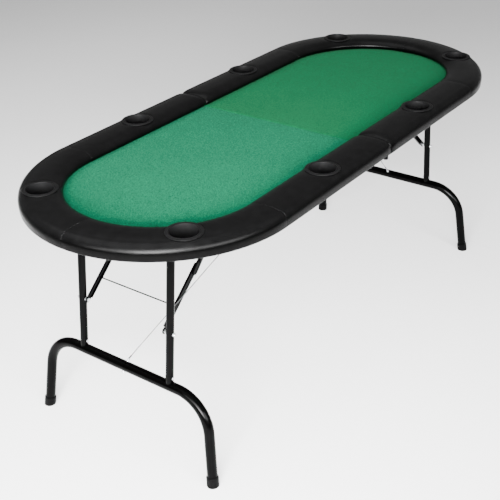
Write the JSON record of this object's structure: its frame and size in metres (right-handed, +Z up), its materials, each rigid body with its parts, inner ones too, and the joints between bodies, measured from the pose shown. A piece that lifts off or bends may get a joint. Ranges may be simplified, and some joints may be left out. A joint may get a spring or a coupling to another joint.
{
  "type": "poker table",
  "caption": "Oval folding poker table with a padded vinyl rail, recessed felt field, cup holders, a middle hinge and fold-away tubular legs with locking braces.",
  "frame": {"origin": "centre of the table's footprint, on the floor", "axes": "+X along the table's length, +Y across it towards the back, +Z up"},
  "size_m": [1.829, 0.773, 0.7364],
  "materials": {
    "black_vinyl": "soft black vinyl with a low sheen over foam",
    "green_felt": "green speed cloth, fine weave",
    "plywood": "plywood stained black underneath",
    "rail_wood": "raw plywood, hidden",
    "cup_plastic": "moulded black plastic, satin",
    "black_steel": "gloss black powder coat on steel",
    "zinc_steel": "bright zinc plate",
    "stay_wire": "bright stranded steel cable",
    "black_rubber": "matt black rubber",
    "riser_wood": "varnished hardwood"
  },
  "bodies": {
    "half_left": {"board_left": "plywood", "felt_left": "green_felt", "rail_core_left": "rail_wood", "rail_pad_left_front": "black_vinyl", "rail_pad_left_front_end": "black_vinyl", "rail_pad_left_back_end": "black_vinyl", "rail_pad_left_back": "black_vinyl", "cup_left_front": "cup_plastic", "cup_left_front_end": "cup_plastic", "cup_left_back_end": "cup_plastic", "cup_left_back": "cup_plastic", "leg_saddles_left": "black_steel", "brace_brackets_left": "black_steel", "hinge_leaves_left": "black_steel", "hinge_risers_left": "riser_wood", "board_screws_left": "zinc_steel", "seam_buffer_left": "black_rubber", "stay_anchor_left": "zinc_steel", "stay_cable_left": "stay_wire", "hinge_pins": "zinc_steel"},
    "leg_frame_left": {"upright_frame_left": "black_steel", "foot_tube_left": "black_steel", "foot_caps_left": "black_rubber", "leg_bolts_left": "zinc_steel", "stay_eye_left": "zinc_steel"},
    "lower_brace_left": {"lower_links_left": "black_steel", "cross_rod_left": "black_steel", "knee_rivets_left": "zinc_steel"},
    "upper_brace_left": {"upper_links_left": "black_steel"},
    "half_right": {"board_right": "plywood", "felt_right": "green_felt", "rail_core_right": "rail_wood", "rail_pad_right_front": "black_vinyl", "rail_pad_right_front_end": "black_vinyl", "rail_pad_right_back_end": "black_vinyl", "rail_pad_right_back": "black_vinyl", "cup_right_front": "cup_plastic", "cup_right_front_end": "cup_plastic", "cup_right_back_end": "cup_plastic", "cup_right_back": "cup_plastic", "leg_saddles_right": "black_steel", "brace_brackets_right": "black_steel", "hinge_leaves_right": "black_steel", "hinge_risers_right": "riser_wood", "board_screws_right": "zinc_steel", "seam_buffer_right": "black_rubber", "stay_anchor_right": "zinc_steel", "stay_cable_right": "stay_wire"},
    "leg_frame_right": {"upright_frame_right": "black_steel", "foot_tube_right": "black_steel", "foot_caps_right": "black_rubber", "leg_bolts_right": "zinc_steel", "stay_eye_right": "zinc_steel"},
    "lower_brace_right": {"lower_links_right": "black_steel", "cross_rod_right": "black_steel", "knee_rivets_right": "zinc_steel"},
    "upper_brace_right": {"upper_links_right": "black_steel"}
  },
  "joints": [
    {"name": "table_fold", "type": "hinge", "parent": "half_left", "child": "half_right", "pos_m": [0, 0, 0.641], "axis": [0, 1, 0], "range_deg": [0, 90]},
    {"name": "leg_fold_left", "type": "hinge", "parent": "half_left", "child": "leg_frame_left", "pos_m": [-0.697, 0, 0.675], "axis": [0, -1, 0], "range_deg": [0, 95], "deforming": ["stay_cable_left"]},
    {"name": "lower_link_turn_left", "type": "hinge", "parent": "leg_frame_left", "child": "lower_brace_left", "pos_m": [-0.72673, 0, 0.40312], "axis": [0, -1, 0], "range_deg": [0, 42.76]},
    {"name": "upper_link_turn_left", "type": "hinge", "parent": "half_left", "child": "upper_brace_left", "pos_m": [-0.4395, 0, 0.675], "axis": [0, 1, 0], "range_deg": [0, 46.04]},
    {"name": "leg_fold_right", "type": "hinge", "parent": "half_right", "child": "leg_frame_right", "pos_m": [0.697, 0, 0.675], "axis": [0, 1, 0], "range_deg": [0, 95], "deforming": ["stay_cable_right"]},
    {"name": "lower_link_turn_right", "type": "hinge", "parent": "leg_frame_right", "child": "lower_brace_right", "pos_m": [0.72673, 0, 0.40312], "axis": [0, 1, 0], "range_deg": [0, 42.76]},
    {"name": "upper_link_turn_right", "type": "hinge", "parent": "half_right", "child": "upper_brace_right", "pos_m": [0.4395, 0, 0.675], "axis": [0, -1, 0], "range_deg": [0, 46.04]}
  ],
  "couplings": [
    {"joint": "lower_link_turn_left", "follows": "leg_fold_left", "ratio": 0.44795},
    {"joint": "upper_link_turn_left", "follows": "leg_fold_left", "ratio": 0.48253},
    {"joint": "lower_link_turn_right", "follows": "leg_fold_right", "ratio": 0.44795},
    {"joint": "upper_link_turn_right", "follows": "leg_fold_right", "ratio": 0.48253}
  ]
}
